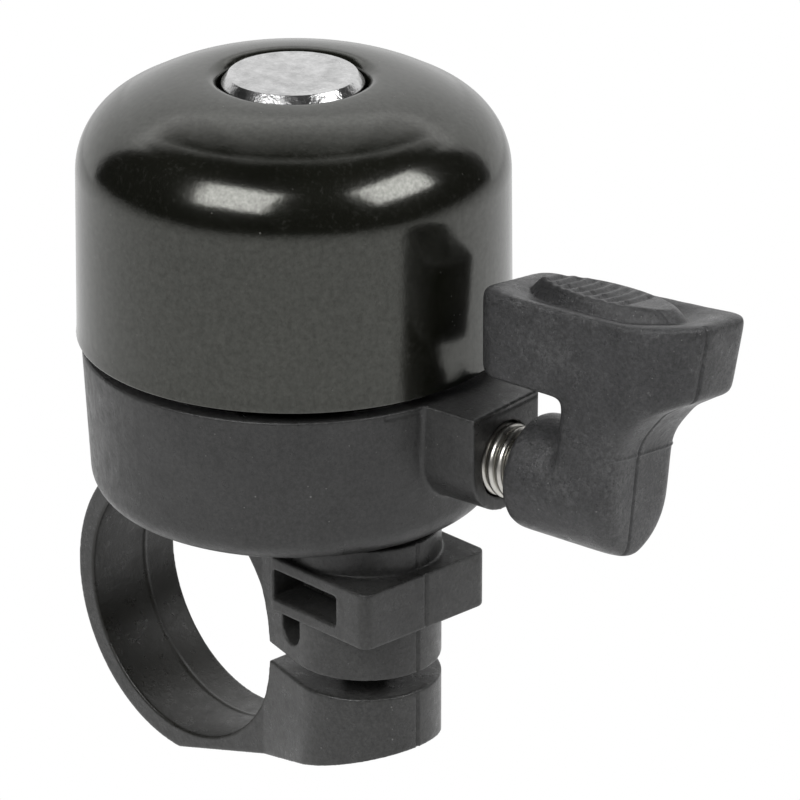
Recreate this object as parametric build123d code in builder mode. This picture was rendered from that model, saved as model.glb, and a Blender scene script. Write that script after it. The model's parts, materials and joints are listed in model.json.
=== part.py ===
from build123d import *
from math import cos, radians, sin, tan
import os

os.makedirs("parts", exist_ok=True)

# Row frame: origin at the centre of the handlebar bore, +Y along the bar, +Z up to the dome,
# +X towards the clamp screw and the thumb lever. Millimetres.

# ---- overall sizes ----
bar_radius = 11.1
clamp_width = 9.0
dome_radius = 17.5
dome_height = 21.6
dome_wall = 1.0
housing_height = 12.6
bell_x = 9.2
bell_turn = 8.0

# ---- clearances ----
run_gap = 0.05
thread_gap = 0.03
press_gap = 0.02
loose_gap = 0.1

# ---- fasteners ----
bolt_r = 2.0
bolt_head_r = 3.4
bolt_head_h = 1.4
washer_t = 0.5
screw_r = 2.0
screw_head_r = 3.5
screw_head_h = 2.3
nut_side = 7.0
nut_t = 2.2

# ---- clamp ----
band_wall = 1.85
foot_lift = 0.19
platform_rise = 1.2
lug_r = 6.15
slit = 1.6
block_half_y = 6.7
block_over = 1.0
block_depth_in = 4.5
block_h = 4.8
block_drop = 2.4
wedge_deg = 16.4
spigot_r = 4.0
spigot_h = 2.3

clamp_top = bar_radius + platform_rise
screw_x = bar_radius + lug_r + 0.15
block_top = clamp_top - block_drop
block_bottom = block_top - block_h
block_mid = (block_top + block_bottom) / 2
lug_floor = -slit / 2
seat_z = lug_floor - 3.4
lug_out = screw_x + lug_r

# ---- housing and dome heights ----
floor_t = 2.0
side_wall = 1.6
rim_gap = 0.9
housing_bottom = clamp_top + washer_t
housing_top = housing_bottom + housing_height
rim_z = housing_top + rim_gap
crown_z = rim_z + dome_height
housing_r_top = dome_radius - 0.42
housing_r_low = dome_radius - 1.1
cavity_floor = housing_bottom + floor_t

# ---- cap and centre bolt ----
cap_r = 6.33
cap_top_r = 5.66
recess_r = cap_r + press_gap
recess_floor = crown_z - 2.5
cap_top = crown_z + 0.2
iso_t = 0.8
post_top = recess_floor - dome_wall - iso_t
post_r_low = 5.0
post_r_top = 3.7

# ---- striker ----
ear_half = 4.2
ear_out = dome_radius + 3.95
striker_z = housing_top - ear_half - 0.4
spring_r = 3.0
wire_r = 0.4
spring_pitch = 0.86
seat_depth = 2.9
rod_r = 0.95
rod_hole_r = 2.2
hammer_r = 2.4
hammer_gap = 1.2
hammer_h = 7.0
dome_inner_r = dome_radius - dome_wall
hammer_x = dome_inner_r - hammer_gap - hammer_r - 0.1
hammer_low = rim_z + 2.3

# ---- lever ----
lever_gap = 2.85
lever_in = ear_out + lever_gap
boss_r = 4.5
boss_len = 5.3
socket_depth = 3.0
stem_in = lever_in + boss_len
stem_out = stem_in + 4.7
pad_in = ear_out - 0.25
pad_out = pad_in + 18.7
pad_half = 4.8
lever_lean = 8.0
# heights on the lever, from its boss axis
pad_low = 8.0
pad_low_out = 9.8
pad_top_in = 14.7
pad_top_out = 15.5
island_rise = 0.5

t = radians(bell_turn)
radial = (cos(t), sin(t), 0)
across = (-sin(t), cos(t), 0)
bell_plan = Plane(origin=(bell_x, 0, 0), x_dir=radial, z_dir=(0, 0, 1))
bell_side = Plane(origin=(bell_x, 0, 0), x_dir=radial, z_dir=(sin(t), -cos(t), 0))


lean = radians(lever_lean)
lever_across = (-sin(t) * cos(lean), cos(t) * cos(lean), -sin(lean))
lever_up = (-sin(t) * sin(lean), cos(t) * sin(lean), cos(lean))
lever_plan = Plane(origin=(bell_x, 0, striker_z), x_dir=radial, z_dir=lever_up)
lever_side = Plane(origin=(bell_x, 0, striker_z), x_dir=radial, z_dir=[-v for v in lever_across])


def facing(reach, height):
    spot = (bell_x + reach * cos(t), reach * sin(t), height)
    return Plane(origin=spot, x_dir=across, z_dir=radial)


def lever_facing(reach):
    spot = (bell_x + reach * cos(t), reach * sin(t), striker_z)
    return Plane(origin=spot, x_dir=lever_across, z_dir=radial)


# ---- handlebar clamp, one moulded strap ----
with BuildPart() as clamp_band:
    with BuildSketch(Plane.XZ) as s:
        Circle(bar_radius + band_wall)
    extrude(amount=clamp_width / 2, both=True)
    with BuildSketch(Plane.XY.offset(-bar_radius - band_wall)) as s:
        with Locations((screw_x, 0)):
            Circle(lug_r)
        with Locations((bar_radius - 0.9, 0)):
            Rectangle(0.4, clamp_width)
        make_hull()
        with Locations((bar_radius / 2 - 0.4, 0)):
            Rectangle(bar_radius - 0.8, clamp_width)
    extrude(amount=bar_radius + band_wall + clamp_top)
    # the under-side rises outwards
    with BuildSketch(Plane.XZ) as s:
        foot = foot_lift - bar_radius - band_wall
        slope = tan(radians(wedge_deg))
        with BuildLine():
            Polyline(
                (-2, foot - 2 * slope),
                (lug_out + 2, foot + (lug_out + 2) * slope),
                (lug_out + 2, foot - 3),
                (-2, foot - 3),
                close=True,
            )
        make_face()
    extrude(amount=lug_r + 2, both=True, mode=Mode.SUBTRACT)
    # flat top that carries the bell
    with BuildSketch(Plane.XY.offset(clamp_top)) as s:
        with Locations((screw_x / 2, 0)):
            Rectangle(4 * bar_radius + screw_x, 4 * lug_r)
    extrude(amount=band_wall + 4, mode=Mode.SUBTRACT)
    # nut block
    with BuildSketch(Plane.XY.offset(block_bottom)) as s:
        block_x0 = screw_x - block_depth_in
        block_x1 = lug_out + block_over
        with Locations(((block_x0 + block_x1) / 2, 0)):
            RectangleRounded(block_x1 - block_x0, 2 * block_half_y, 0.9)
    extrude(amount=block_h)
    # bore and slit
    with BuildSketch(Plane.XZ) as s:
        Circle(bar_radius)
        with Locations(((lug_out + 2) / 2 + 3, 0)):
            Rectangle(lug_out, slit)
    extrude(amount=lug_r + 3, both=True, mode=Mode.SUBTRACT)
    # clamp screw hole, head pocket, nut window
    with BuildSketch(Plane.XY.offset(-bar_radius - band_wall)) as s:
        with Locations((screw_x, 0)):
            Circle(screw_r + loose_gap)
    extrude(amount=bar_radius + band_wall + block_top + 1.3, mode=Mode.SUBTRACT)
    with BuildSketch(Plane.XY.offset(seat_z)) as s:
        with Locations((screw_x, 0)):
            Circle(screw_head_r + 0.7)
    extrude(amount=-bar_radius, mode=Mode.SUBTRACT)
    with BuildSketch(Plane.XY.offset(block_mid - nut_t / 2 - 0.15)) as s:
        with Locations((screw_x, -(block_half_y + 1 - nut_side / 2 - 0.18) / 2)):
            Rectangle(nut_side + 0.36, block_half_y + 1 + nut_side / 2 + 0.18)
    extrude(amount=nut_t + 0.3, mode=Mode.SUBTRACT)
    # cored notch under the nut block
    with BuildSketch(Plane.XZ.offset(3.5)) as s:
        with Locations((screw_x - 2.75, block_bottom + 0.1)):
            SlotCenterToCenter(3.4, 2.7, rotation=90)
        with Locations((screw_x, block_bottom + 5)):
            Rectangle(14, 10, mode=Mode.SUBTRACT)
    extrude(amount=5, mode=Mode.SUBTRACT)
    # spigot the bell turns on
    with BuildSketch(Plane.XY.offset(clamp_top - 1.5)) as s:
        with Locations((bell_x, 0)):
            Circle(spigot_r)
    extrude(amount=spigot_h + 1.5)
    with BuildSketch(Plane.XY.offset(clamp_top - 3.2)) as s:
        with Locations((bell_x, 0)):
            Circle(bolt_r + thread_gap)
    extrude(amount=8, mode=Mode.SUBTRACT)
clamp_band.part.label = "clamp_band"
export_step(clamp_band.part, "parts/clamp_band.step")

# ---- square nut in the window ----
with BuildPart() as clamp_nut:
    with BuildSketch(Plane.XY.offset(block_mid - nut_t / 2)) as s:
        with Locations((screw_x, 0)):
            Rectangle(nut_side, nut_side)
            Circle(screw_r + thread_gap, mode=Mode.SUBTRACT)
    extrude(amount=nut_t)
clamp_nut.part.label = "clamp_nut"
export_step(clamp_nut.part, "parts/clamp_nut.step")

# ---- washer and pan head screw from below ----
with BuildPart() as screw_washer:
    with BuildSketch(Plane.XY.offset(seat_z - washer_t)) as s:
        with Locations((screw_x, 0)):
            Circle(screw_head_r + 0.4)
            Circle(screw_r + loose_gap, mode=Mode.SUBTRACT)
    extrude(amount=washer_t)
screw_washer.part.label = "screw_washer"
export_step(screw_washer.part, "parts/screw_washer.step")

head_seat = seat_z - washer_t
with BuildPart() as clamp_screw:
    with BuildSketch(Plane.XY.offset(head_seat)) as s:
        with Locations((screw_x, 0)):
            Circle(screw_head_r)
    extrude(amount=-screw_head_h)
    fillet(clamp_screw.faces().sort_by(Axis.Z)[0].edges(), screw_head_h * 0.35)
    with BuildSketch(Plane.XY.offset(head_seat)) as s:
        with Locations((screw_x, 0)):
            Circle(screw_r)
    extrude(amount=block_top + 0.7 - head_seat)
    chamfer(clamp_screw.faces().sort_by(Axis.Z)[-1].edges(), 0.4)
    with BuildSketch(Plane.XY.offset(head_seat - screw_head_h)) as s:
        with Locations((screw_x, 0)):
            Rectangle(3.8, 0.8)
            Rectangle(0.8, 3.8)
    extrude(amount=1.4, mode=Mode.SUBTRACT)
clamp_screw.part.label = "clamp_screw"
export_step(clamp_screw.part, "parts/clamp_screw.step")

# ---- friction washer between clamp and bell ----
with BuildPart() as swivel_washer:
    with BuildSketch(Plane.XY.offset(clamp_top)) as s:
        with Locations((bell_x, 0)):
            Circle(spigot_r + 2.2)
            Circle(spigot_r + loose_gap, mode=Mode.SUBTRACT)
    extrude(amount=washer_t)
swivel_washer.part.label = "swivel_washer"
export_step(swivel_washer.part, "parts/swivel_washer.step")

# ---- housing: cup, centre post and ear ----
with BuildPart() as housing:
    with BuildSketch(bell_side) as s:
        with BuildLine():
            Polyline(
                (0, housing_bottom),
                (housing_r_low, housing_bottom),
                (housing_r_top, housing_top),
                (0, housing_top),
                close=True,
            )
        make_face()
        corner = s.vertices().sort_by_distance((housing_r_low, housing_bottom))
        fillet(corner[0], 2.5)
    revolve(axis=Axis((bell_x, 0, 0), (0, 0, 1)))
    with BuildSketch(facing(dome_radius * 0.6, striker_z)) as s:
        Circle(ear_half)
        with Locations((0, (housing_top - striker_z) / 2)):
            Rectangle(2 * ear_half, housing_top - striker_z)
    extrude(amount=ear_out - dome_radius * 0.6)
    with BuildSketch(bell_side) as s:
        with BuildLine():
            Polyline(
                (0, cavity_floor),
                (housing_r_low - side_wall, cavity_floor),
                (housing_r_top - side_wall, housing_top + 1),
                (0, housing_top + 1),
                close=True,
            )
        make_face()
        corner = s.vertices().sort_by_distance((housing_r_low - side_wall, cavity_floor))
        fillet(corner[0], 1.4)
    revolve(axis=Axis((bell_x, 0, 0), (0, 0, 1)), mode=Mode.SUBTRACT)
    # centre post and three low ribs
    with BuildSketch(bell_side) as s:
        with BuildLine():
            Polyline(
                (0, cavity_floor - 0.5),
                (post_r_low, cavity_floor - 0.5),
                (post_r_top, post_top),
                (0, post_top),
                close=True,
            )
        make_face()
    revolve(axis=Axis((bell_x, 0, 0), (0, 0, 1)))
    with BuildSketch(bell_plan.offset(cavity_floor - 0.5)) as s:
        with PolarLocations(housing_r_low / 2 + 0.6, 3, start_angle=60):
            Rectangle(housing_r_low - side_wall - 2, 1.2)
    extrude(amount=2.5)
    # spigot pocket and bolt bore
    with BuildSketch(bell_plan.offset(housing_bottom - 1)) as s:
        Circle(spigot_r + run_gap)
    extrude(amount=1 + spigot_h - washer_t + 0.2, mode=Mode.SUBTRACT)
    with BuildSketch(bell_plan.offset(housing_bottom)) as s:
        Circle(bolt_r + loose_gap)
    extrude(amount=post_top - housing_bottom + 1, mode=Mode.SUBTRACT)
    # spring seat and rod hole through the ear
    with BuildSketch(facing(ear_out - seat_depth, striker_z)) as s:
        Circle(spring_r + loose_gap)
    extrude(amount=seat_depth + 1, mode=Mode.SUBTRACT)
    with BuildSketch(facing(dome_radius * 0.6, striker_z)) as s:
        Circle(rod_hole_r)
    extrude(amount=ear_out - dome_radius * 0.6, mode=Mode.SUBTRACT)
housing.part.label = "housing"
export_step(housing.part, "parts/housing.step")

# ---- isolating washer under the dome ----
with BuildPart() as isolating_washer:
    with BuildSketch(bell_plan.offset(post_top)) as s:
        Circle(post_r_top + 1.2)
        Circle(bolt_r + loose_gap, mode=Mode.SUBTRACT)
    extrude(amount=iso_t)
isolating_washer.part.label = "isolating_washer"
export_step(isolating_washer.part, "parts/isolating_washer.step")

# ---- dome ----
shoulder_z = crown_z - 2.55
with BuildPart() as dome:
    with BuildSketch(bell_side) as s:
        with BuildLine():
            Polyline(
                (recess_r, crown_z - 0.25),
                (recess_r, recess_floor),
                (0, recess_floor),
                (0, rim_z),
                (dome_radius, rim_z),
                (dome_radius - 0.22, shoulder_z),
            )
            ThreePointArc(
                (dome_radius - 0.22, shoulder_z),
                (dome_radius * 0.62, crown_z - 0.75),
                (recess_r + 0.9, crown_z),
            )
            Line((recess_r + 0.9, crown_z), (recess_r, crown_z - 0.25))
        make_face()
        near = s.vertices().sort_by_distance((dome_radius - 0.22, shoulder_z))
        fillet(near[0], 5.6)
        near = s.vertices().sort_by_distance((recess_r, crown_z - 0.25))
        fillet(near[0], 0.35)
    revolve(axis=Axis((bell_x, 0, 0), (0, 0, 1)))
    with BuildSketch(bell_side) as s:
        with BuildLine():
            Polyline(
                (recess_r + dome_wall, crown_z - dome_wall - 0.3),
                (recess_r + dome_wall, recess_floor - dome_wall),
                (0, recess_floor - dome_wall),
                (0, rim_z - 1),
                (dome_inner_r, rim_z - 1),
                (dome_inner_r - 0.22, shoulder_z - dome_wall),
            )
            ThreePointArc(
                (dome_inner_r - 0.22, shoulder_z - dome_wall),
                (dome_radius * 0.62, crown_z - 0.75 - dome_wall),
                (recess_r + dome_wall, crown_z - dome_wall - 0.3),
            )
        make_face()
        near = s.vertices().sort_by_distance((dome_inner_r - 0.22, shoulder_z - dome_wall))
        fillet(near[0], 4.6)
    revolve(axis=Axis((bell_x, 0, 0), (0, 0, 1)), mode=Mode.SUBTRACT)
    with BuildSketch(bell_plan.offset(recess_floor - dome_wall - 1)) as s:
        Circle(bolt_r + loose_gap)
    extrude(amount=dome_wall + 2, mode=Mode.SUBTRACT)
dome.part.label = "dome"
export_step(dome.part, "parts/dome.step")

# ---- bolt washer, centre bolt, chrome cap ----
with BuildPart() as bolt_washer:
    with BuildSketch(bell_plan.offset(recess_floor)) as s:
        Circle(bolt_head_r + 0.5)
        Circle(bolt_r + loose_gap, mode=Mode.SUBTRACT)
    extrude(amount=washer_t)
bolt_washer.part.label = "bolt_washer"
export_step(bolt_washer.part, "parts/bolt_washer.step")

bolt_seat = recess_floor + washer_t
with BuildPart() as centre_bolt:
    with BuildSketch(bell_plan.offset(bolt_seat)) as s:
        Circle(bolt_head_r)
    extrude(amount=bolt_head_h)
    fillet(centre_bolt.faces().sort_by(Axis.Z)[-1].edges(), bolt_head_h * 0.4)
    with BuildSketch(bell_plan.offset(clamp_top - 3.0)) as s:
        Circle(bolt_r)
    extrude(amount=bolt_seat - clamp_top + 3.0)
    chamfer(centre_bolt.faces().sort_by(Axis.Z)[0].edges(), 0.4)
    with BuildSketch(bell_plan.offset(bolt_seat + bolt_head_h)) as s:
        Rectangle(3.6, 0.8)
        Rectangle(0.8, 3.6)
    extrude(amount=-0.8, mode=Mode.SUBTRACT)
centre_bolt.part.label = "centre_bolt"
export_step(centre_bolt.part, "parts/centre_bolt.step")

with BuildPart() as dome_cap:
    with BuildSketch(bell_plan.offset(recess_floor)) as s:
        Circle(cap_r)
    extrude(amount=cap_top - recess_floor)
    chamfer(dome_cap.faces().sort_by(Axis.Z)[-1].edges(), 0.5, cap_r - cap_top_r)
    with BuildSketch(bell_plan.offset(recess_floor)) as s:
        Circle(bolt_head_r + 0.5 + loose_gap)
    extrude(amount=washer_t + bolt_head_h + 0.25, mode=Mode.SUBTRACT)
dome_cap.part.label = "dome_cap"
export_step(dome_cap.part, "parts/dome_cap.step")

# ---- close-wound striker spring ----
spring_from = ear_out - seat_depth + wire_r + 0.02
spring_to = lever_in + socket_depth - wire_r - 0.02
with BuildPart() as striker_spring:
    coil = Helix(
        pitch=spring_pitch,
        height=spring_to - spring_from,
        radius=spring_r - wire_r,
        center=facing(spring_from, striker_z).origin,
        direction=radial,
    )
    with BuildSketch(Plane(origin=coil @ 0, z_dir=coil % 0)) as s:
        Circle(wire_r)
    sweep(path=coil, is_frenet=True)
striker_spring.part.label = "striker_spring"
export_step(striker_spring.part, "parts/striker_spring.step")

# ---- rod from lever to hammer ----
rod_end = stem_in + 1.8
hammer_top = hammer_low + hammer_h
with BuildPart() as striker_rod:
    with BuildLine(bell_side) as path:
        FilletPolyline(
            (rod_end, striker_z),
            (hammer_x, striker_z),
            (hammer_x, hammer_top - 1.2),
            radius=2.6,
        )
    with BuildSketch(facing(rod_end, striker_z)) as s:
        Circle(rod_r)
    sweep(path=path.wires()[0])
striker_rod.part.label = "striker_rod"
export_step(striker_rod.part, "parts/striker_rod.step")

with BuildPart() as hammer:
    with BuildSketch(bell_plan.offset(hammer_low)) as s:
        with Locations((hammer_x, 0)):
            Circle(hammer_r)
    extrude(amount=hammer_h)
    fillet(hammer.edges().filter_by(GeomType.CIRCLE), 0.7)
    with BuildSketch(bell_plan.offset(hammer_low)) as s:
        with Locations((hammer_x, 0)):
            Circle(rod_r + press_gap)
    extrude(amount=hammer_h - 1.1, mode=Mode.SUBTRACT)
hammer.part.label = "hammer"
export_step(hammer.part, "parts/hammer.step")

# ---- thumb lever, leaning a little on its spring ----
with BuildPart() as thumb_lever:
    with BuildSketch(lever_side) as s:
        with BuildLine():
            Polyline(
                (stem_in, -boss_r),
                (stem_out, -boss_r),
                (stem_out, pad_low - 3.4),
                (stem_out + 1.4, pad_low - 0.3),
                (pad_out - 0.5, pad_low_out),
                (pad_out, pad_top_out),
                (pad_in, pad_top_in),
                (pad_in, pad_low),
                (stem_in, pad_low),
                close=True,
            )
        make_face()
        near = s.vertices().sort_by_distance((stem_out, pad_low - 3.4))
        fillet(near[0], 2.5)
        near = s.vertices().sort_by_distance((stem_out + 1.4, pad_low - 0.3))
        fillet(near[0], 1.2)
        near = s.vertices().sort_by_distance((pad_out - 0.5, pad_low_out))
        fillet(near[0], 1.2)
        near = s.vertices().sort_by_distance((pad_in, pad_low))
        fillet(near[0], 0.8)
    extrude(amount=pad_half + 1, both=True)
    with BuildSketch(lever_facing(pad_in - 2)) as s:
        Circle(boss_r + 0.1)
        with Locations((0, pad_low / 2)):
            Rectangle(2 * boss_r, pad_low)
        with Locations((0, pad_low + pad_top_out / 2)):
            Rectangle(2 * pad_half, pad_top_out)
    extrude(amount=pad_out - pad_in + 6, mode=Mode.INTERSECT)
    with BuildSketch(lever_plan.offset(-boss_r - 1)) as s:
        with Locations(((pad_in + pad_out) / 2, 0)):
            Rectangle(pad_out - pad_in, 2 * pad_half)
        fillet(s.vertices().sort_by_distance((pad_out, -pad_half))[0], 4.0)
        fillet(s.vertices().sort_by_distance((pad_out, pad_half))[0], 2.0)
        fillet(s.vertices().sort_by_distance((pad_in, -pad_half))[0], 2.0)
        fillet(s.vertices().sort_by_distance((pad_in, pad_half))[0], 2.0)
    extrude(amount=pad_top_out + boss_r + 4, mode=Mode.INTERSECT)
    with BuildSketch(lever_facing(lever_in)) as s:
        Circle(boss_r)
    extrude(amount=boss_len + 1)
    # raised ribbed island on the top
    with BuildSketch(lever_plan.offset(pad_top_in - 0.5)) as s:
        with Locations(((pad_in + pad_out) / 2, 0)):
            Ellipse(7.6, 3.3)
    extrude(amount=island_rise + 0.8)
    with BuildSketch(lever_plan.offset(pad_top_in + island_rise + 0.3)) as s:
        with Locations(((pad_in + pad_out) / 2, 0)):
            with GridLocations(1.1, 1, 9, 1):
                Rectangle(0.4, 8)
    extrude(amount=-0.3, mode=Mode.SUBTRACT)
    # spring socket and rod hole
    with BuildSketch(lever_facing(lever_in)) as s:
        Circle(spring_r + loose_gap)
    extrude(amount=socket_depth, mode=Mode.SUBTRACT)
    with BuildSketch(lever_facing(lever_in)) as s:
        Circle(rod_r + press_gap)
    extrude(amount=rod_end - lever_in + 0.1, mode=Mode.SUBTRACT)
thumb_lever.part.label = "thumb_lever"
export_step(thumb_lever.part, "parts/thumb_lever.step")
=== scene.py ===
"""A compact bicycle bell on its handlebar clamp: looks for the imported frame.
Lengths below are in millimetres, and meshes are in metres."""

import json
import math

import bmesh
import bpy
import numpy as np
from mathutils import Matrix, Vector


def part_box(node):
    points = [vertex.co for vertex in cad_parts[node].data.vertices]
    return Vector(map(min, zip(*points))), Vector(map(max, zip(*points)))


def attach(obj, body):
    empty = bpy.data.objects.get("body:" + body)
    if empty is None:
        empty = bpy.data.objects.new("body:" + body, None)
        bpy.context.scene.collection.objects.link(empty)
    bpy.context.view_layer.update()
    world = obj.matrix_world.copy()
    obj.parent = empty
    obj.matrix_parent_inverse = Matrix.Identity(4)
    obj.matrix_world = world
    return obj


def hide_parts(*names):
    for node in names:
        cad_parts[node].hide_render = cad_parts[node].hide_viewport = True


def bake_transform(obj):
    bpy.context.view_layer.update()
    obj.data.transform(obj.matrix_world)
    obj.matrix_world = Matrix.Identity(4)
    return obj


MM = 0.001
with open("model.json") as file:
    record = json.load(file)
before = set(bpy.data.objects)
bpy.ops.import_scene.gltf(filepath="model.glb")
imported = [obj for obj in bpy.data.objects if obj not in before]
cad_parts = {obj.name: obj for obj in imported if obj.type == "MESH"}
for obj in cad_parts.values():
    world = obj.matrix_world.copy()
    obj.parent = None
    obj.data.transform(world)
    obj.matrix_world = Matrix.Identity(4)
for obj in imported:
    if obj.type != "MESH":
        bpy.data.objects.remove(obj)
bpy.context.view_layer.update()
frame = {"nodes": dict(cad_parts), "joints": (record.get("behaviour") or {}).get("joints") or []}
scene = bpy.context.scene
joints = {j["name"]: j for j in frame["joints"]}

# The bell's own axes: out along the lever, across it, and up.
axis_spot = Vector(joints["bell_swivel"]["pos_m"]) / MM
across = Vector(joints["lever_flick"]["axis"])
up = Vector((0, 0, 1))
radial = across.cross(up).normalized()
pivot = Vector(joints["lever_flick"]["pos_m"]) / MM
pivot_reach = (pivot - axis_spot).dot(radial)
striker_z = pivot.z


def box(node):
    low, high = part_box(node)
    return low / MM, high / MM


def on_bell(reach, side, height):
    """A point in the row frame from the bell's own axes."""
    flat = axis_spot + radial * reach + across * side
    return Vector((flat.x, flat.y, height))


lever_lean = math.radians(8)
lever_across = across * math.cos(lever_lean) - up * math.sin(lever_lean)
lever_up = up * math.cos(lever_lean) + across * math.sin(lever_lean)


def on_lever(reach, side, height):
    """A point in the row frame from the lever's own axes, whose origin is on its boss axis."""
    foot = Vector((axis_spot.x, axis_spot.y, striker_z))
    return foot + radial * reach + lever_across * side + lever_up * height


# ---------------------------------------------------------------- meshes
def new_object(name, mesh, material=None):
    obj = bpy.data.objects.new(name, mesh)
    scene.collection.objects.link(obj)
    if material:
        mesh.materials.clear()
        mesh.materials.append(material)
    return obj


def smooth(mesh, angle):
    mesh.shade_smooth()
    mesh.set_sharp_from_angle(angle=math.radians(angle))


def arc(cx, cz, radius, start, stop, steps):
    """Points on an arc, from one angle to another in degrees."""
    turns = [math.radians(start + (stop - start) * i / steps) for i in range(steps + 1)]
    return [(cx + radius * math.cos(a), cz + radius * math.sin(a)) for a in turns]


def turned(name, outline, material, segments, angle):
    """A turned piece about the bell's axis from a closed outline of (radius, height)."""
    bm = bmesh.new()
    rings = []
    for radius, height in outline:
        ring = []
        for k in range(segments):
            a = 2 * math.pi * k / segments
            side = on_bell(radius * math.cos(a), radius * math.sin(a), height)
            ring.append(bm.verts.new(side * MM))
        rings.append(ring)
    for a, b in zip(rings, rings[1:] + rings[:1]):
        for k in range(segments):
            j = (k + 1) % segments
            bm.faces.new((a[k], a[j], b[j], b[k]))
    bmesh.ops.recalc_face_normals(bm, faces=bm.faces)
    mesh = bpy.data.meshes.new(name)
    bm.to_mesh(mesh)
    bm.free()
    smooth(mesh, angle)
    return new_object(name, mesh, material)


def baked(obj):
    """Apply the modifiers to the mesh."""
    bpy.context.view_layer.update()
    shape = bpy.data.meshes.new_from_object(obj.evaluated_get(bpy.context.evaluated_depsgraph_get()))
    obj.modifiers.clear()
    obj.data = shape
    return obj


def eased(obj, voxel, rounds):
    """One skin over all the shells of a mesh, with its edges rounded off."""
    remesh = obj.modifiers.new("remesh", "REMESH")
    remesh.mode = "VOXEL"
    remesh.voxel_size = voxel * MM
    ease = obj.modifiers.new("ease", "SMOOTH")
    ease.factor = 0.5
    ease.iterations = rounds
    return baked(obj)


def moulded(node, name, voxel, rounds):
    """A copy of a CAD piece with the softly rounded edges that moulded plastic has."""
    mesh = frame["nodes"][node].data.copy()
    bm = bmesh.new()
    bm.from_mesh(mesh)
    bmesh.ops.remove_doubles(bm, verts=bm.verts, dist=1e-7)
    bm.to_mesh(mesh)
    bm.free()
    return eased(new_object(name, mesh), voxel, rounds)


def groove(obj, spot, normal, facing, width, depth, least=0.3, within=(-99, 99)):
    """Sink a fine line where the skin crosses a plane and faces a given way: a mould's parting line.
    It keeps within two distances from the frame's origin, along the way it faces.
    A depth below 0 raises the line."""
    mesh = obj.data
    count = len(mesh.vertices)
    places = np.empty(count * 3)
    mesh.vertices.foreach_get("co", places)
    places = places.reshape(-1, 3)
    normals = np.empty(count * 3)
    mesh.vertex_normals.foreach_get("vector", normals)
    normals = normals.reshape(-1, 3)
    away = (places / MM - np.array(spot)) @ np.array(normal)
    reach = places / MM @ np.array(facing)
    there = (normals @ np.array(facing) > least) & (reach > within[0]) & (reach < within[1])
    share = np.clip(1 - np.abs(away) / width, 0, 1) * there
    places -= normals * (share * depth * MM)[:, None]
    mesh.vertices.foreach_set("co", places.ravel())
    mesh.update()


def finished(obj, material, body, node):
    """Give a piece its material and smooth shading, put it on its body, and hide the CAD node it stands
    for.
    """
    obj.data.materials.clear()
    obj.data.materials.append(material)
    obj.data.shade_smooth()
    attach(obj, body)
    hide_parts(node)


def shell_of(bm, loops):
    """A closed skin through loops of points of the same count, capped at both ends."""
    rings = [[bm.verts.new(p * MM) for p in loop] for loop in loops]
    for a, b in zip(rings, rings[1:]):
        for k in range(len(a)):
            j = (k + 1) % len(a)
            bm.faces.new((a[k], a[j], b[j], b[k]))
    bm.faces.new(list(reversed(rings[0])))
    bm.faces.new(rings[-1])


def rounded_box(u0, u1, v0, v1, radii, steps=8):
    """Plan points of a rectangle with its own radius at each corner, from the near inner corner round."""
    corners = ((u0, v0, 180), (u1, v0, 270), (u1, v1, 0), (u0, v1, 90))
    points = []
    for (u, v, start), r in zip(corners, radii):
        cu = u + r if u == u0 else u - r
        cv = v + r if v == v0 else v - r
        points += arc(cu, cv, r, start, start + 90, steps)
    return points


# ---------------------------------------------------------------- materials
class Nodes:
    """A short way to wire a material's nodes."""

    def __init__(self, name):
        self.mat = bpy.data.materials.new(name)
        self.mat.use_nodes = True
        self.tree = self.mat.node_tree
        self.shader = self.tree.nodes["Principled BSDF"]

    def add(self, kind, **sockets):
        node = self.tree.nodes.new(kind)
        for key, value in sockets.items():
            if isinstance(value, bpy.types.NodeSocket):
                self.tree.links.new(value, node.inputs[key])
            else:
                node.inputs[key].default_value = value
        return node

    def link(self, out, socket):
        self.tree.links.new(out, self.shader.inputs[socket])

    def put(self, socket, value):
        self.shader.inputs[socket].default_value = value

    def place(self):
        return self.add("ShaderNodeTexCoord").outputs["Object"]

    def noise(self, scale, detail=3.0, rough=0.5):
        return self.add(
            "ShaderNodeTexNoise", Vector=self.place(), Scale=scale, Detail=detail, Roughness=rough
        ).outputs["Fac"]

    def spread(self, value, low, high, to_low, to_high):
        node = self.add("ShaderNodeMapRange", Value=value)
        node.inputs["From Min"].default_value = low
        node.inputs["From Max"].default_value = high
        node.inputs["To Min"].default_value = to_low
        node.inputs["To Max"].default_value = to_high
        return node.outputs["Result"]

    def maths(self, kind, a, b):
        node = self.tree.nodes.new("ShaderNodeMath")
        node.operation = kind
        for socket, value in zip(node.inputs, (a, b)):
            if isinstance(value, bpy.types.NodeSocket):
                self.tree.links.new(value, socket)
            else:
                socket.default_value = value
        return node.outputs[0]

    def blend(self, factor, a, b):
        node = self.tree.nodes.new("ShaderNodeMix")
        node.data_type = "RGBA"
        self.tree.links.new(factor, node.inputs["Factor"])
        for socket, value in ((node.inputs["A"], a), (node.inputs["B"], b)):
            if isinstance(value, bpy.types.NodeSocket):
                self.tree.links.new(value, socket)
            else:
                socket.default_value = (*value, 1)
        return node.outputs["Result"]

    def specks(self, scale, size, share):
        """Sparse round specks: 1 inside a speck, 0 elsewhere."""
        cells = self.add("ShaderNodeTexVoronoi", Vector=self.place(), Scale=scale)
        inside = self.spread(cells.outputs["Distance"], size, size * 0.6, 0, 1)
        pick = self.add("ShaderNodeSeparateColor", Color=cells.outputs["Color"])
        chosen = self.maths("LESS_THAN", pick.outputs["Red"], share)
        return self.maths("MULTIPLY", inside, chosen)

    def bump(self, height, depth, strength=1.0):
        node = self.add("ShaderNodeBump", Height=height, Strength=strength, Distance=depth * MM)
        self.link(node.outputs["Normal"], "Normal")


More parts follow.
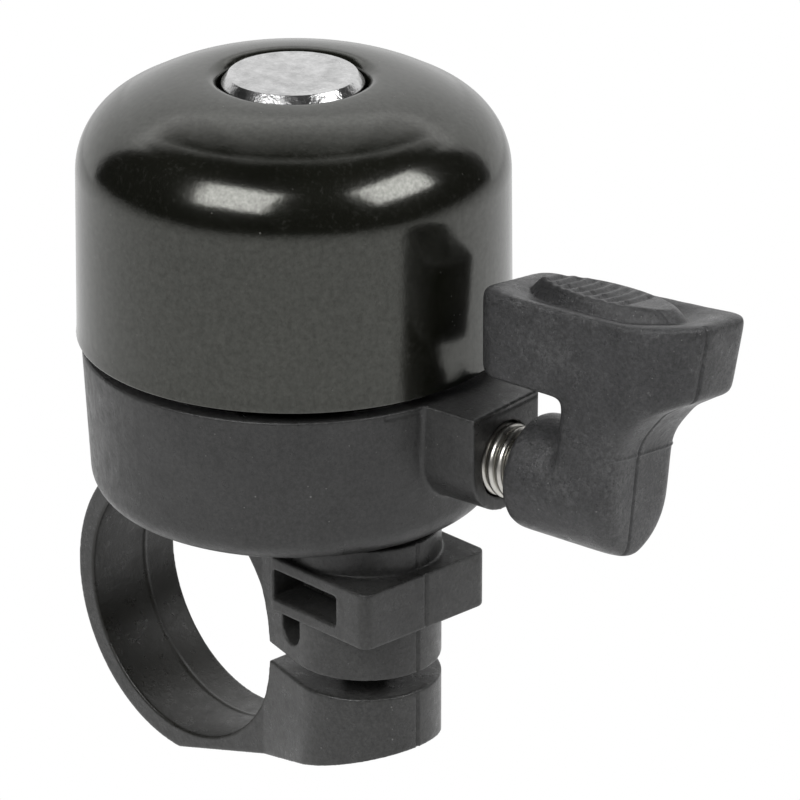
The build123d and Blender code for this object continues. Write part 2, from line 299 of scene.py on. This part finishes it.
def gloss_paint():
    """Black enamel over steel: slightly soft gloss, a trace of orange peel, and a film of fine dust."""
    n = Nodes("gloss black paint")
    film = n.spread(n.noise(90, 6, 0.65), 0.3, 0.7, 0, 1)
    base = n.blend(film, (0.003, 0.0032, 0.0018), (0.007, 0.0072, 0.0048))
    grain = n.spread(n.noise(2600, 3, 0.7), 0.55, 0.8, 0, 0.5)
    dusty = n.maths("MULTIPLY", grain, film)
    specks = n.maths("MAXIMUM", n.specks(900, 0.1, 0.02), n.specks(2600, 0.16, 0.02))
    dust = n.maths("MAXIMUM", dusty, specks)
    n.link(n.blend(dust, base, (0.06, 0.06, 0.055)), "Base Color")
    haze = n.spread(n.noise(45, 5, 0.65), 0.3, 0.7, 0.14, 0.2)
    n.link(n.maths("ADD", haze, n.maths("MULTIPLY", dust, 0.22)), "Roughness")
    n.put("IOR", 1.7)
    n.put("Specular Tint", (0.99, 1.0, 0.93, 1))
    n.link(n.spread(n.noise(2200, 6, 0.85), 0.32, 0.68, 0.36, 0.66), "Specular IOR Level")
    peel = n.maths("ADD", n.noise(1100, 2, 0.5), n.maths("MULTIPLY", n.noise(4000, 3, 0.6), 0.5))
    n.bump(peel, 0.016, 0.5)
    return n.mat


def satin_plastic(name, dark, light, rough, grain, specks=0.015, marks=0.0, bore=None):
    """Moulded plastic: broad cloudy tone, fine mottled grain, a little dust, and where asked for,
    pale rub marks and painted shade that darkens the bore about the handlebar's axis."""
    n = Nodes(name)
    cloud = n.spread(n.noise(110, 6, 0.65), 0.32, 0.68, 0, 1)
    mottle = n.spread(n.noise(2900, 6, 0.85), 0.4, 0.62, 0, 1)
    tone = n.maths("ADD", n.maths("MULTIPLY", cloud, 0.4), n.maths("MULTIPLY", mottle, 0.6))
    base = n.blend(tone, dark, light)
    dust = n.maths("MAXIMUM", n.specks(1300, 0.12, specks), n.specks(3600, 0.2, specks))
    colour = n.blend(dust, base, (0.17, 0.17, 0.165))
    if marks:
        patches = n.maths("MULTIPLY", n.spread(n.noise(150, 9, 0.8), 0.5, 0.7, 0, marks), mottle)
        flecks = n.spread(n.noise(1300, 7, 0.85), 0.6, 0.68, 0, marks)
        colour = n.blend(n.maths("MAXIMUM", patches, flecks), colour, (0.16, 0.16, 0.16))
    if bore:
        spot = n.add("ShaderNodeSeparateXYZ", Vector=n.place())
        flat = n.add("ShaderNodeCombineXYZ", X=spot.outputs["X"], Z=spot.outputs["Z"])
        out = n.add("ShaderNodeVectorMath")
        out.operation = "LENGTH"
        n.tree.links.new(flat.outputs["Vector"], out.inputs[0])
        # painted shade: a near-black, slightly warm colour darkens the skin within the handlebar bore's
        # radius
        inside = n.spread(out.outputs["Value"], bore * 1.012, bore * 1.03, 0.85, 0)
        colour = n.blend(inside, colour, (0.009, 0.0085, 0.006))
    n.link(colour, "Base Color")
    n.link(n.spread(n.noise(700, 6, 0.8), 0.35, 0.65, rough - 0.1, rough + 0.12), "Roughness")
    n.put("IOR", 1.5)
    height = n.maths("ADD", n.noise(2600, 5, 0.8), n.maths("MULTIPLY", n.noise(600, 3, 0.6), 0.9))
    n.bump(height, grain, 0.9)
    return n.mat


def metal(name, colour, rough, brushed=0.0):
    """Plain metal with cloudy tone, uneven gloss and fine scratches."""
    n = Nodes(name)
    tone = n.noise(400, 5, 0.6)
    darker = tuple(0.78 * c for c in colour)
    n.link(n.blend(n.spread(tone, 0.35, 0.65, 0, 1), darker, colour), "Base Color")
    n.put("Metallic", 1.0)
    n.link(n.spread(n.noise(700, 4, 0.7), 0.3, 0.75, rough * 0.7, rough * 1.6), "Roughness")
    n.bump(n.noise(1500, 4, 0.7), 0.01 + brushed, 0.5)
    return n.mat


def cap_chrome():
    """Bright plated cap with the faint dings of a stamped face."""
    n = Nodes("bright plated cap")
    tone = n.spread(n.noise(700, 7, 0.75), 0.35, 0.65, 0, 1)
    n.link(n.blend(tone, (0.42, 0.42, 0.42), (0.68, 0.68, 0.68)), "Base Color")
    n.put("Metallic", 1.0)
    n.link(n.spread(n.noise(520, 5, 0.7), 0.35, 0.75, 0.14, 0.34), "Roughness")
    dents = n.noise(900, 4, 0.65)
    n.bump(dents, 0.1, 0.6)
    return n.mat


paint = gloss_paint()
housing_mat = satin_plastic(
    "satin black moulding", (0.014, 0.014, 0.014), (0.053, 0.053, 0.052), rough=0.36, grain=0.045
)
bore_r = 11.1
# the strap gets painted shade inside its handlebar bore
clamp_mat = satin_plastic(
    "satin black strap",
    (0.014, 0.014, 0.0135),
    (0.070, 0.070, 0.068),
    rough=0.33,
    grain=0.045,
    bore=bore_r * MM,
)
lever_mat = satin_plastic(
    "matte black lever",
    (0.012, 0.012, 0.0125),
    (0.075, 0.075, 0.077),
    rough=0.34,
    grain=0.085,
    specks=0.04,
    marks=0.75,
)
grey_mat = satin_plastic("grey washer", (0.10, 0.10, 0.10), (0.16, 0.16, 0.16), 0.55, 0.02)
chrome = cap_chrome()
zinc = metal("zinc plated steel", (0.55, 0.55, 0.54), 0.3, 0.01)
wire_mat = metal("bright spring wire", (0.60, 0.585, 0.545), 0.3)

# ---------------------------------------------------------------- dome
low, high = box("dome")
dome_r = (high.x - low.x) / 2 - 0.005
rim_z = low.z
crown_z = high.z
cap_low, cap_high = box("dome_cap")
cap_r = (cap_high.x - cap_low.x) / 2 - 0.64
wall = 1.0
rim_edge = 0.22
wall_taper = 0.2
shoulder_r, shoulder_drop, shoulder_sweep = 6.35, 7.8, 66
recess_r = cap_r + 0.25
recess_floor = cap_low.z
lip_edge = 0.95
bolt_hole_r = 2.1


def crown_rise(r, z, lip_r):
    """The shallow top between shoulder and lip, easing from 24 degrees to level."""
    steps = 24
    slope0, slope1 = math.radians(24), math.radians(1)
    run = (r - lip_r) / steps
    rises = [run * math.tan(slope0 + (slope1 - slope0) * (k + 0.5) / steps) for k in range(steps)]
    lift = (crown_z - z) / sum(rises)
    points = []
    for rise in rises:
        r -= run
        z += rise * lift
        points.append((r, z))
    return points


def dome_outline():
    """Outer skin from rim to recess, then the underside back to the rim."""
    outer = arc(dome_r - rim_edge, rim_z + rim_edge, rim_edge, -90, 0, 6)
    centre = (dome_r - wall_taper - shoulder_r, crown_z - shoulder_drop)
    wall_foot, wall_steps = rim_z + 0.6, 12
    for k in range(wall_steps):
        share = k / wall_steps
        outer.append((dome_r - 0.04 - 0.16 * share, wall_foot + (centre[1] - wall_foot) * share))
    outer += arc(*centre, shoulder_r, 0, shoulder_sweep, 40)
    lip_r = recess_r + lip_edge
    outer += crown_rise(*outer[-1], lip_r)
    outer += arc(lip_r, crown_z - lip_edge, lip_edge, 90, 180, 14)[1:]
    outer.append((recess_r, recess_floor + 0.1))
    outer.append((recess_r - 0.1, recess_floor))
    outer.append((bolt_hole_r, recess_floor))
    inner = [(bolt_hole_r, recess_floor - wall), (recess_r + wall, recess_floor - wall)]
    inner.append((recess_r + wall, crown_z - wall - 0.35))
    inner += arc(centre[0], centre[1] - 0.35, shoulder_r - wall + 0.3, shoulder_sweep, 0, 24)
    inner.append((dome_r - wall, rim_z + 0.1))
    inner.append((dome_r - wall + 0.1, rim_z))
    return outer + inner


dome = turned("bell_dome", dome_outline(), paint, segments=320, angle=50)
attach(dome, "bell")
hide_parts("dome")

# ---------------------------------------------------------------- cap
cap_top = cap_high.z
bevel_r = cap_r - 0.5
hollow_r, hollow_z = 4.0, cap_low.z + 2.1


def cap_outline():
    """A flat face with a fine ring sunk in it, a bevel, and a hollow underside."""
    face_z = cap_top - 0.02
    ring_r, ring_half, ring_depth = 4.45, 0.15, 0.03
    points = [(0.01, face_z)]
    for r in np.linspace(ring_r - ring_half, ring_r + ring_half, 9):
        dip = math.cos(math.pi * (r - ring_r) / (2 * ring_half)) ** 2
        points.append((r, face_z - ring_depth * dip))
    points += arc(bevel_r - 0.1, cap_top - 0.12, 0.1, 90, 40, 4)
    points += arc(cap_r - 0.14, cap_top - 0.78, 0.14, 50, 0, 4)
    return points + [(cap_r, cap_low.z), (hollow_r, cap_low.z), (hollow_r, hollow_z), (0.01, hollow_z)]


cap = turned("crown_cap", cap_outline(), chrome, segments=192, angle=35)
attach(cap, "bell")
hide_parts("dome_cap")

# ---------------------------------------------------------------- moulded pieces
ear_rise, ear_line_drop = 4.6, 0.45
housing = moulded("housing", "cup_housing", 0.14, 6)
ear_line = on_bell(0, 0, striker_z + ear_rise - ear_line_drop)
groove(housing, ear_line, up, radial, width=0.17, depth=0.12, least=0.9)
finished(housing, housing_mat, "bell", "housing")

clamp = moulded("clamp_band", "strap_clamp", 0.11, 8)
along_bar = (0, 1, 0)
bore_line, bore_facing, bore_reach = (0, 1.2, 0), (0.707, 0, 0.707), (-12, -3)
groove(clamp, (0, 0, 0), along_bar, (1, 0, 0), width=0.2, depth=0.2, within=(9, 99))
groove(clamp, bore_line, along_bar, bore_facing, width=0.24, depth=-0.11, least=0.35, within=bore_reach)
finished(clamp, clamp_mat, "clamp", "clamp_band")


# ---------------------------------------------------------------- thumb lever
def eased_step(value, start, stop):
    """0 before start, 1 past stop, and a smooth rise between them."""
    share = min(max((value - start) / (stop - start), 0), 1)
    return share * share * (3 - 2 * share)


boss_r, socket_r, core_r = 4.7, 3.1, 1.0
spring_gap = 2.85
lever_face = pivot_reach + spring_gap / 2
stem_in, stem_out = lever_face + 4.8, lever_face + 10.25
pad_in, pad_out, pad_half = pivot_reach - 2.85, lever_face + 15.72, 4.85
pad_low = 7.5
island_mid = (pad_in + pad_out) / 2 - 0.3
island_long, island_half = 8.1, 3.4
around_boss = 96
leaf_turns = [2 * math.pi * k / 240 for k in range(240)]


def pad_top(reach, side):
    """The top rises towards the outer end and is dished around the island."""
    rise = 14.55 + 1.0 * eased_step(reach, stem_in + 1, pad_out)
    spot = ((reach - island_mid) / (island_long + 0.8)) ** 2 + (side / (island_half + 0.9)) ** 2
    return rise - 0.45 * (1 - eased_step(spot, 0.55, 1.25))


def underside(reach):
    """The pad's underside swings up at its outer end."""
    return pad_low + 1.9 * eased_step(reach, stem_out + 1.2, pad_out - 0.2)


def pad_shell(bm):
    """The overhanging pad, its plan drawn in a little below and its top dished."""
    corner = (2.2, 4.8, 1.7, 2.0)
    waist = rounded_box(pad_in + 0.55, pad_out - 0.4, 0.3 - pad_half, pad_half - 0.3, corner)
    brim = rounded_box(pad_in, pad_out, -pad_half, pad_half, corner)
    mid_u, mid_v = (pad_in + pad_out) / 2, 0.0
    loops = []
    for share in np.linspace(0.05, 1, 9):
        flat = [(mid_u + (u - mid_u) * share, mid_v + (v - mid_v) * share) for u, v in waist]
        loops.append([on_lever(u, v, underside(u)) for u, v in flat])
    for share in np.linspace(1, 0.05, 20):
        flat = [(mid_u + (u - mid_u) * share, mid_v + (v - mid_v) * share) for u, v in brim]
        loops.append([on_lever(u, v, pad_top(u, v)) for u, v in flat])
    shell_of(bm, loops)


def stem_shell(bm):
    """The stem: round below like the boss, and flaring into the pad above."""
    loops = []
    heights = [-boss_r * math.cos(math.pi / 2 * k / 14) for k in range(1, 15)]
    heights += list(np.linspace(0.6, pad_low + 2, 16))
    for h in heights:
        half = math.sqrt(boss_r**2 - min(h, 0) ** 2)
        flare = 3.2 * eased_step(h, 3.9, pad_low + 2.7)
        r = min(1.7, half * 0.95)
        plan = rounded_box(stem_in, stem_out + flare, -half, half, (min(0.5, r), r, r, min(0.5, r)))
        loops.append([on_lever(u, v, h) for u, v in plan])
    shell_of(bm, loops)


def boss_shell(bm):
    """The round boss with the spring's socket."""
    back, floor = stem_in + 1, lever_face + 3
    outline = ((lever_face, socket_r), (lever_face, boss_r), (back, boss_r), (back, core_r))
    outline += ((floor, core_r), (floor, socket_r))
    turns = [2 * math.pi * k / around_boss for k in range(around_boss)]
    rings = []
    for u, r in outline:
        rings.append([bm.verts.new(on_lever(u, r * math.cos(a), r * math.sin(a)) * MM) for a in turns])
    for a, b in zip(rings, rings[1:] + rings[:1]):
        for k in range(around_boss):
            j = (k + 1) % around_boss
            bm.faces.new((a[k], a[j], b[j], b[k]))


def island_shell(bm):
    """The raised leaf under the thumb, with its row of low ribs."""
    rib_pitch, rib_depth, crown = 1.1, 0.3, 15.65

    def height(u, v, share):
        edge = eased_step(share, 1.0, 0.72)
        ribs = eased_step(abs(u - island_mid + 1.4), 4.9, 3.9) * eased_step(abs(v + 0.2), 2.5, 1.6)
        ribs *= eased_step(share, 0.8, 0.62)
        wave = math.cos(2 * math.pi * (u - island_mid + 0.1 * v * v / 2) / rib_pitch)
        low = pad_top(u, v) - 0.3
        rise = crown + 0.12 * eased_step(u, stem_in, pad_out) - low
        return low + rise * edge - rib_depth * (1 - wave) / 2 * ribs

    root = 13.2
    leaf = [(island_mid + island_long * math.cos(a), island_half * math.sin(a)) for a in leaf_turns]
    loops = [[on_lever(u, v, root) for u, v in leaf]]
    for share in np.linspace(1, 0.01, 90):
        loop = []
        for a in leaf_turns:
            u = island_mid + island_long * share * math.cos(a)
            v = island_half * share * math.sin(a) * (1 - 0.16 * math.cos(a) ** 2)
            loop.append(on_lever(u, v, height(u, v, share)))
        loops.append(loop)
    shell_of(bm, loops)


def solid(name, *shells):
    """One mesh of several closed skins."""
    bm = bmesh.new()
    for shell in shells:
        shell(bm)
    bmesh.ops.recalc_face_normals(bm, faces=bm.faces)
    mesh = bpy.data.meshes.new(name)
    bm.to_mesh(mesh)
    bm.free()
    return new_object(name, mesh)


lever_body = eased(solid("lever_body", pad_shell, stem_shell, boss_shell), 0.13, 170)
island = solid("island", island_shell)
bm = bmesh.new()
bm.from_mesh(lever_body.data)
bm.from_mesh(island.data)
lever_mesh = bpy.data.meshes.new("flick_lever")
bm.to_mesh(lever_mesh)
bm.free()
for scrap in (lever_body, island):
    bpy.data.objects.remove(scrap)
lever = eased(new_object("flick_lever", lever_mesh), 0.085, 9)
parting_side, seam_height, outer_face = -1.0, 3.9, (30, 99)
parting_spot = on_lever(0, parting_side, 0)
seam_spot = on_lever(0, 0, seam_height)
groove(lever, parting_spot, lever_across, radial, width=0.2, depth=0.17, least=0.2, within=outer_face)
groove(lever, seam_spot, lever_up, radial, width=0.16, depth=-0.09, least=0.5, within=outer_face)
finished(lever, lever_mat, "striker", "thumb_lever")


# ---------------------------------------------------------------- spring
def coil(name, reach_from, reach_to, mean_r, wire_r, pitch):
    """A wound wire about the lever's pivot line, between two distances out from the bell's axis."""
    turns = (reach_to - reach_from) / pitch
    per_turn, round_steps = 48, 12
    count = int(turns * per_turn)
    bm = bmesh.new()
    rings = []
    for i in range(count + 1):
        a = 2 * math.pi * i / per_turn
        reach = reach_from + pitch * i / per_turn
        ring = []
        for j in range(round_steps):
            b = 2 * math.pi * j / round_steps
            out = mean_r + wire_r * math.cos(b)
            side, height = out * math.cos(a), striker_z + out * math.sin(a)
            ring.append(bm.verts.new(on_bell(reach + wire_r * math.sin(b), side, height) * MM))
        rings.append(ring)
    for p, q in zip(rings, rings[1:]):
        for j in range(round_steps):
            k = (j + 1) % round_steps
            bm.faces.new((p[j], p[k], q[k], q[j]))
    bm.faces.new(rings[0])
    bm.faces.new(list(reversed(rings[-1])))
    bmesh.ops.recalc_face_normals(bm, faces=bm.faces)
    mesh = bpy.data.meshes.new(name)
    bm.to_mesh(mesh)
    bm.free()
    mesh.shade_smooth()
    return new_object(name, mesh, wire_mat)


ear_face = pivot_reach - spring_gap / 2
spring = coil("wound_spring", ear_face - 2.45, lever_face + 2.55, mean_r=2.6, wire_r=0.4, pitch=0.86)
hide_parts("striker_spring")
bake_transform(spring)

# ---------------------------------------------------------------- CAD pieces that stay
for node, material in {
    "clamp_nut": zinc,
    "clamp_screw": zinc,
    "screw_washer": zinc,
    "swivel_washer": grey_mat,
    "isolating_washer": grey_mat,
    "centre_bolt": zinc,
    "bolt_washer": zinc,
    "striker_rod": wire_mat,
    "hammer": zinc,
}.items():
    mesh = frame["nodes"][node].data
    mesh.materials.clear()
    mesh.materials.append(material)

# ---------------------------------------------------------------- camera
view_turn, view_rise = math.radians(46.6), math.radians(22.96)
distance = 480.6
flat_toward = Vector((math.sin(view_turn), -math.cos(view_turn), 0))
toward = flat_toward * math.cos(view_rise) + up * math.sin(view_rise)
right = Vector((math.cos(view_turn), math.sin(view_turn), 0))
upward = toward.cross(right)
rim_centre = Vector((axis_spot.x, axis_spot.y, rim_z))
aim_right, aim_down = 8.43, 5.67
aim = rim_centre + right * aim_right - upward * aim_down
camera = bpy.data.objects.new("camera", bpy.data.cameras.new("camera"))
scene.collection.objects.link(camera)
camera.data.lens = 270
camera.data.sensor_width = 36
camera.data.clip_start = 0.01
camera.data.clip_end = 20
camera.location = (aim + toward * distance) * MM
camera.rotation_euler = (math.pi / 2 - view_rise, 0, view_turn)
scene.camera = camera


# ---------------------------------------------------------------- studio
def either(tree, *outputs):
    """1 where any of the outputs is 1."""
    total = outputs[0]
    for other in outputs[1:]:
        node = tree.nodes.new("ShaderNodeMath")
        node.operation = "MAXIMUM"
        tree.links.new(total, node.inputs[0])
        tree.links.new(other, node.inputs[1])
        total = node.outputs[0]
    return total


def paper(name, near, far, faded):
    """Pale paper that takes light and shadow, and that the camera, metal and gloss see as white.
    In gloss it fades from 1 to a share between two distances from the object, in metres."""
    mat = bpy.data.materials.new(name)
    mat.use_nodes = True
    tree = mat.node_tree
    tree.nodes.clear()
    out = tree.nodes.new("ShaderNodeOutputMaterial")
    matt = tree.nodes.new("ShaderNodeBsdfDiffuse")
    matt.inputs["Color"].default_value = (0.85, 0.85, 0.85, 1)
    white = tree.nodes.new("ShaderNodeEmission")
    path = tree.nodes.new("ShaderNodeLightPath")
    place = tree.nodes.new("ShaderNodeNewGeometry")
    length = tree.nodes.new("ShaderNodeVectorMath")
    length.operation = "LENGTH"
    tree.links.new(place.outputs["Position"], length.inputs[0])
    fade = tree.nodes.new("ShaderNodeMapRange")
    fade.interpolation_type = "SMOOTHSTEP"
    tree.links.new(length.outputs["Value"], fade.inputs["Value"])
    for socket, value in (("From Min", near), ("From Max", far), ("To Min", 1.0), ("To Max", faded)):
        fade.inputs[socket].default_value = value
    camera_ray = path.outputs["Is Camera Ray"]
    tree.links.new(either(tree, camera_ray, fade.outputs["Result"]), white.inputs["Strength"])
    mix = tree.nodes.new("ShaderNodeMixShader")
    seen = either(tree, camera_ray, path.outputs["Is Glossy Ray"], path.outputs["Is Transmission Ray"])
    tree.links.new(seen, mix.inputs[0])
    tree.links.new(matt.outputs[0], mix.inputs[1])
    tree.links.new(white.outputs[0], mix.inputs[2])
    tree.links.new(mix.outputs[0], out.inputs[0])
    return mat


def from_camera_side(turn, rise):
    """A direction from the object: turn right from the camera's side, and rise, in degrees."""
    t, r = math.radians(turn), math.radians(rise)
    return (flat_toward * math.cos(t) + right * math.sin(t)) * math.cos(r) + up * math.sin(r)


# middle of the object, in metres
centre = Vector((0.012, 0, 0.025))


def softbox(name, turn, rise, away, width, height, strength):
    """An evenly bright rectangular lamp, aimed at the object. Its distance and sides are in metres."""
    lamp = bpy.data.objects.new(name, bpy.data.lights.new(name, "AREA"))
    scene.collection.objects.link(lamp)
    lamp.data.shape = "RECTANGLE"
    lamp.data.size, lamp.data.size_y = width, height
    lamp.data.energy = strength * math.pi * width * height
    direction = from_camera_side(turn, rise)
    lamp.location = centre + direction * away
    lamp.rotation_euler = direction.to_track_quat("Z", "Y").to_euler()


softbox("left softbox", -36, 42, 0.9, 0.58, 0.46, 6.9)
softbox("right softbox", 67, 40, 0.9, 0.56, 0.38, 6.9)
# behind and above, stacked lamps that fade upwards from the backdrop's top
rear_foot, rear_away = 43, 0.95
for top, width in ((54, 1.5), (62, 1.15), (70, 0.8), (78, 0.5)):
    tall = 2 * rear_away * math.tan(math.radians(top - rear_foot) / 2)
    softbox("rear softbox", 180, (rear_foot + top) / 2, rear_away, width, tall, 0.36)

floor_mesh = bpy.data.meshes.new("floor")
bm = bmesh.new()
floor_half, floor_z = 4, -0.25
bmesh.ops.create_grid(bm, x_segments=2, y_segments=2, size=floor_half)
bm.to_mesh(floor_mesh)
bm.free()
floor = new_object("floor", floor_mesh, paper("white floor", near=0.35, far=3.2, faded=0.35))
floor.location = (0, 0, floor_z)

# white sweep behind the object, seen in the dome's top
sweep_mesh = bpy.data.meshes.new("backdrop")
bm = bmesh.new()
sweep_away = 2.0
rows = []
for rise in (-16, 0, 15, 30, 42):
    spots = [centre + from_camera_side(turn, rise) * sweep_away for turn in range(125, 236, 5)]
    rows.append([bm.verts.new(spot) for spot in spots])
for a, b in zip(rows, rows[1:]):
    for k in range(len(a) - 1):
        bm.faces.new((a[k], a[k + 1], b[k + 1], b[k]))
bm.to_mesh(sweep_mesh)
bm.free()
backdrop = new_object("backdrop", sweep_mesh, paper("white backdrop", near=5, far=6, faded=1))

world = bpy.data.worlds.new("studio")
world.use_nodes = True
tree = world.node_tree
path = tree.nodes.new("ShaderNodeLightPath")
tone = tree.nodes.new("ShaderNodeMix")
tone.data_type = "RGBA"
dim = 0.035
tone.inputs["A"].default_value = (dim, dim, dim, 1)
tone.inputs["B"].default_value = (1, 1, 1, 1)
tree.links.new(path.outputs["Is Camera Ray"], tone.inputs["Factor"])
tree.links.new(tone.outputs["Result"], tree.nodes["Background"].inputs["Color"])
scene.world = world
scene.view_settings.view_transform = "Standard"
